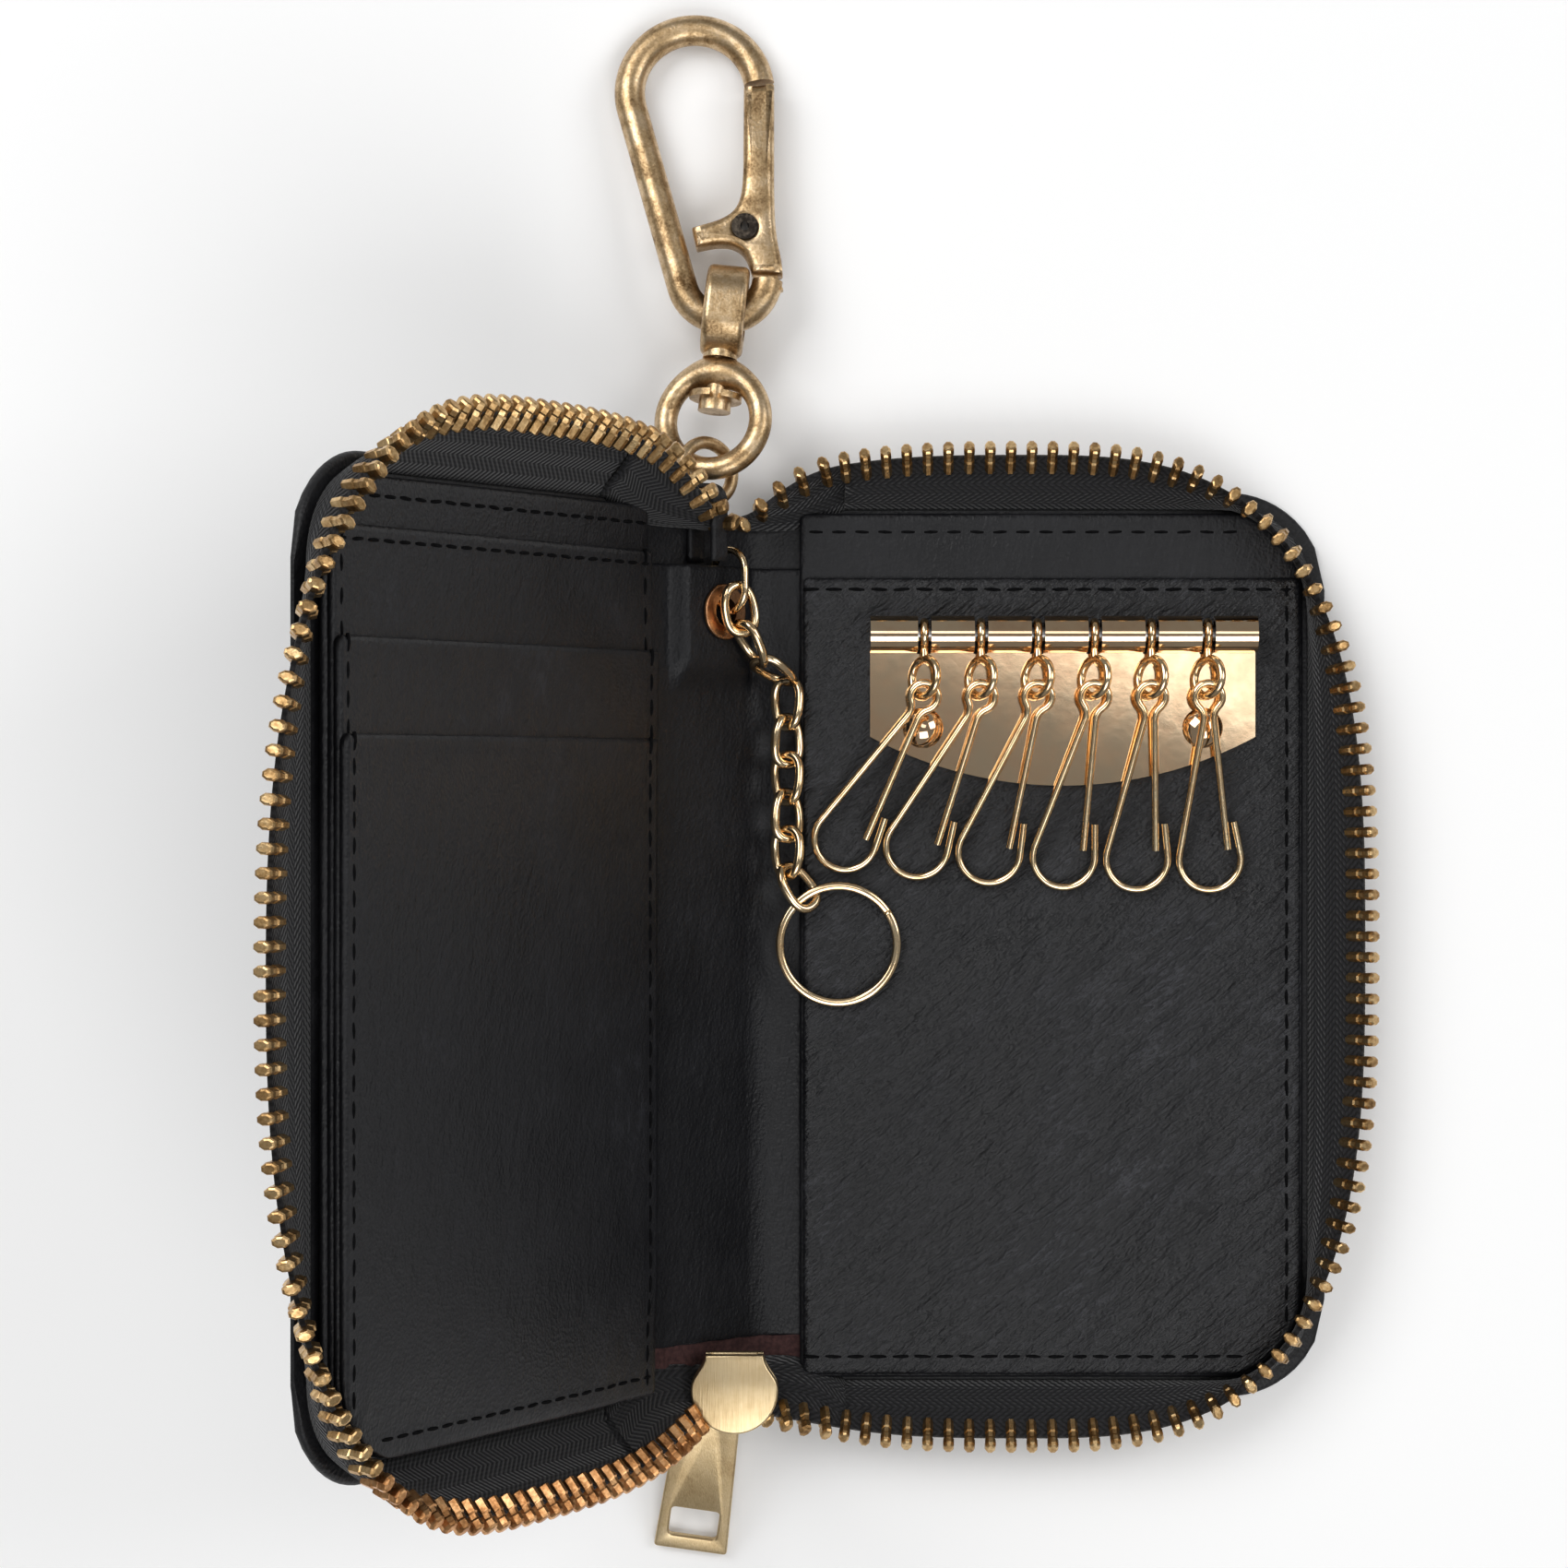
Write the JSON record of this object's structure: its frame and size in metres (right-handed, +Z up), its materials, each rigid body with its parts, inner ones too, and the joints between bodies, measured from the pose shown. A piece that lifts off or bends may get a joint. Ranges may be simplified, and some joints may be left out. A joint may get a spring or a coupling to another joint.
{
  "type": "key case",
  "caption": "Zip-around leather key case lying open, with card pockets, a sprung row of key hooks, a chained split ring and a swivelling snap hook.",
  "frame": {"origin": "centre of the back cover's outer face, which lies on the floor", "axes": "+X from the spine to the back page's free edge, +Y towards the snap hook, +Z up"},
  "size_m": [0.1258, 0.1906, 0.0836],
  "materials": {
    "black_leather": "fine grain, soft sheen",
    "stiff_board": "plain sheet",
    "zip_tape": "woven herringbone",
    "maroon_lining": "woven",
    "zip_brass": "antique",
    "brushed_brass": "brushed",
    "copper": "polished copper plate",
    "antique_brass": "antique, dark in the hollows",
    "spring_steel": "plain",
    "pale_gold": "bright plated"
  },
  "bodies": {
    "back_page": {"back_cover": "black_leather", "back_board": "stiff_board", "back_lining": "black_leather", "back_pocket": "black_leather", "zip_tape_back": "zip_tape", "zip_teeth_back": "zip_brass", "zip_tape_ends_back": "zip_tape", "key_plate": "pale_gold", "key_rod": "spring_steel", "key_rivets": "pale_gold"},
    "spine": {"spine_cover": "black_leather", "spine_panel": "black_leather", "eyelet": "copper", "eyelet_washer": "copper", "strap_loop": "black_leather", "zip_tail": "maroon_lining", "zip_slider": "brushed_brass"},
    "front_page": {"front_cover": "black_leather", "front_board": "stiff_board", "front_lining": "black_leather", "card_pocket_top": "black_leather", "card_pocket_middle": "black_leather", "card_pocket_front": "black_leather", "zip_tape_front": "zip_tape", "zip_teeth_front": "zip_brass", "zip_tape_ends_front": "zip_tape"},
    "pull": {"zip_pull_tab": "brushed_brass"},
    "jump_ring": {"jump_ring": "antique_brass"},
    "swivel_ring": {"swivel_ring": "antique_brass"},
    "swivel_post": {"swivel_post": "antique_brass", "swivel_clip": "antique_brass"},
    "hook": {"hook_body": "antique_brass", "gate_rivet": "antique_brass", "gate_spring": "spring_steel"},
    "gate": {"hook_gate": "antique_brass"},
    "key_loop_1": {"key_loop_1": "pale_gold"},
    "key_hook_1": {"key_hook_1": "pale_gold"},
    "key_loop_2": {"key_loop_2": "pale_gold"},
    "key_hook_2": {"key_hook_2": "pale_gold"},
    "key_loop_3": {"key_loop_3": "pale_gold"},
    "key_hook_3": {"key_hook_3": "pale_gold"},
    "key_loop_4": {"key_loop_4": "pale_gold"},
    "key_hook_4": {"key_hook_4": "pale_gold"},
    "key_loop_5": {"key_loop_5": "pale_gold"},
    "key_hook_5": {"key_hook_5": "pale_gold"},
    "key_loop_6": {"key_loop_6": "pale_gold"},
    "key_hook_6": {"key_hook_6": "pale_gold"},
    "anchor_link": {"anchor_link": "pale_gold"},
    "chain_link_1": {"chain_link_1": "pale_gold"},
    "chain_link_2": {"chain_link_2": "pale_gold"},
    "chain_link_3": {"chain_link_3": "pale_gold"},
    "chain_link_4": {"chain_link_4": "pale_gold"},
    "chain_link_5": {"chain_link_5": "pale_gold"},
    "chain_link_6": {"chain_link_6": "pale_gold"},
    "chain_link_7": {"chain_link_7": "pale_gold"},
    "chain_link_8": {"chain_link_8": "pale_gold"},
    "split_ring": {"split_ring": "pale_gold"}
  },
  "joints": [
    {"name": "spine_fold", "type": "hinge", "parent": "back_page", "child": "spine", "pos_m": [-0.03525, 0, 0.0006], "axis": [0, -1, 0], "range_deg": [-45, 45], "deforming": ["zip_tape_ends_back"]},
    {"name": "cover_fold", "type": "hinge", "parent": "spine", "child": "front_page", "pos_m": [-0.04798, 0, 0.01333], "axis": [0, -1, 0], "range_deg": [-75.5, 14.5], "deforming": ["zip_tape_ends_front"]},
    {"name": "pull_swing", "type": "hinge", "parent": "spine", "child": "pull", "pos_m": [-0.0405, -0.0548, 0.00855], "axis": [-0.9903, 0.1392, 0], "range_deg": [-35, 12]},
    {"name": "jump_ring_lift", "type": "hinge", "parent": "spine", "child": "jump_ring", "pos_m": [-0.04101, 0.05431, 0.01068], "axis": [1, 0, 0], "range_deg": [0, 15]},
    {"name": "swivel_ring_lift", "type": "hinge", "parent": "jump_ring", "child": "swivel_ring", "pos_m": [-0.04101, 0.06143, 0.00965], "axis": [1, 0, 0], "range_deg": [0, 8]},
    {"name": "swivel_turn", "type": "hinge", "parent": "swivel_ring", "child": "swivel_post", "pos_m": [-0.04101, 0.05787, 0.01016], "axis": [0.1045, 0.9843, -0.1423], "continuous": true},
    {"name": "hook_lift", "type": "hinge", "parent": "swivel_post", "child": "hook", "pos_m": [-0.03901, 0.07677, 0.00743], "axis": [1, 0, 0], "range_deg": [0, 45]},
    {"name": "gate_open", "type": "hinge", "parent": "hook", "child": "gate", "pos_m": [-0.03651, 0.08775, 0.00584], "axis": [0, 0.1431, 0.9897], "range_deg": [0, 20], "stiffness_Nm_per_rad": 0.05, "springref_deg": -11.46},
    {"name": "loop_1_lift", "type": "hinge", "parent": "back_page", "child": "key_loop_1", "pos_m": [-0.0145, 0.0383, 0.00585], "axis": [-1, 0, 0], "range_deg": [0, 120]},
    {"name": "key_hook_1_lift", "type": "hinge", "parent": "key_loop_1", "child": "key_hook_1", "pos_m": [-0.0145, 0.0307, 0.00705], "axis": [-0.8763, 0.4818, 0], "range_deg": [0, 30]},
    {"name": "loop_2_lift", "type": "hinge", "parent": "back_page", "child": "key_loop_2", "pos_m": [-0.00755, 0.0383, 0.00585], "axis": [-1, 0, 0], "range_deg": [0, 120]},
    {"name": "key_hook_2_lift", "type": "hinge", "parent": "key_loop_2", "child": "key_hook_2", "pos_m": [-0.00755, 0.0307, 0.00705], "axis": [-0.9212, 0.3891, 0], "range_deg": [0, 30]},
    {"name": "loop_3_lift", "type": "hinge", "parent": "back_page", "child": "key_loop_3", "pos_m": [-0.0006, 0.0383, 0.00585], "axis": [-1, 0, 0], "range_deg": [0, 120]},
    {"name": "key_hook_3_lift", "type": "hinge", "parent": "key_loop_3", "child": "key_hook_3", "pos_m": [-0.0006, 0.0307, 0.00705], "axis": [-0.9563, 0.2924, 0], "range_deg": [0, 30]},
    {"name": "loop_4_lift", "type": "hinge", "parent": "back_page", "child": "key_loop_4", "pos_m": [0.00635, 0.0383, 0.00585], "axis": [-1, 0, 0], "range_deg": [0, 120]},
    {"name": "key_hook_4_lift", "type": "hinge", "parent": "key_loop_4", "child": "key_hook_4", "pos_m": [0.00635, 0.0307, 0.00705], "axis": [-0.9833, 0.1822, 0], "range_deg": [0, 30]},
    {"name": "loop_5_lift", "type": "hinge", "parent": "back_page", "child": "key_loop_5", "pos_m": [0.0133, 0.0383, 0.00585], "axis": [-1, 0, 0], "range_deg": [0, 120]},
    {"name": "key_hook_5_lift", "type": "hinge", "parent": "key_loop_5", "child": "key_hook_5", "pos_m": [0.0133, 0.0307, 0.00705], "axis": [-0.9968, 0.0802, 0], "range_deg": [0, 30]},
    {"name": "loop_6_lift", "type": "hinge", "parent": "back_page", "child": "key_loop_6", "pos_m": [0.02025, 0.0383, 0.00585], "axis": [-1, 0, 0], "range_deg": [0, 120]},
    {"name": "key_hook_6_lift", "type": "hinge", "parent": "key_loop_6", "child": "key_hook_6", "pos_m": [0.02025, 0.0307, 0.00705], "axis": [-0.9998, -0.0209, 0], "range_deg": [0, 30]},
    {"name": "anchor_swing", "type": "hinge", "parent": "spine", "child": "anchor_link", "pos_m": [-0.039, 0.0409, 0.00887], "axis": [0, 1, 0], "range_deg": [-8, 5]},
    {"name": "link_1_lift", "type": "hinge", "parent": "anchor_link", "child": "chain_link_1", "pos_m": [-0.03762, 0.044, 0.01096], "axis": [-0.7071, 0, 0.7071], "range_deg": [0, 12]},
    {"name": "link_2_lift", "type": "hinge", "parent": "chain_link_1", "child": "chain_link_2", "pos_m": [-0.03666, 0.03893, 0.01], "axis": [-0.7071, 0, 0.7071], "range_deg": [0, 12]},
    {"name": "link_3_lift", "type": "hinge", "parent": "back_page", "child": "chain_link_3", "pos_m": [-0.0313, 0.03275, 0.0046], "axis": [-1, 0, 0], "range_deg": [0, 10]},
    {"name": "link_4_lift", "type": "hinge", "parent": "chain_link_3", "child": "chain_link_4", "pos_m": [-0.0313, 0.0275, 0.0046], "axis": [-1, 0, 0], "range_deg": [0, 10]},
    {"name": "link_5_lift", "type": "hinge", "parent": "chain_link_4", "child": "chain_link_5", "pos_m": [-0.0313, 0.0229, 0.0046], "axis": [-1, 0, 0], "range_deg": [0, 10]},
    {"name": "link_6_lift", "type": "hinge", "parent": "chain_link_5", "child": "chain_link_6", "pos_m": [-0.0313, 0.0183, 0.0046], "axis": [-1, 0, 0], "range_deg": [0, 10]},
    {"name": "link_7_lift", "type": "hinge", "parent": "chain_link_6", "child": "chain_link_7", "pos_m": [-0.0313, 0.01376, 0.00532], "axis": [-1, 0, 0], "range_deg": [0, 10]},
    {"name": "link_8_lift", "type": "hinge", "parent": "chain_link_7", "child": "chain_link_8", "pos_m": [-0.0313, 0.00916, 0.00532], "axis": [-1, 0, 0], "range_deg": [0, 10]},
    {"name": "split_ring_lift", "type": "hinge", "parent": "chain_link_8", "child": "split_ring", "pos_m": [-0.02915, 0.00609, 0.00532], "axis": [-0.8192, -0.5736, 0], "range_deg": [0, 60]}
  ]
}
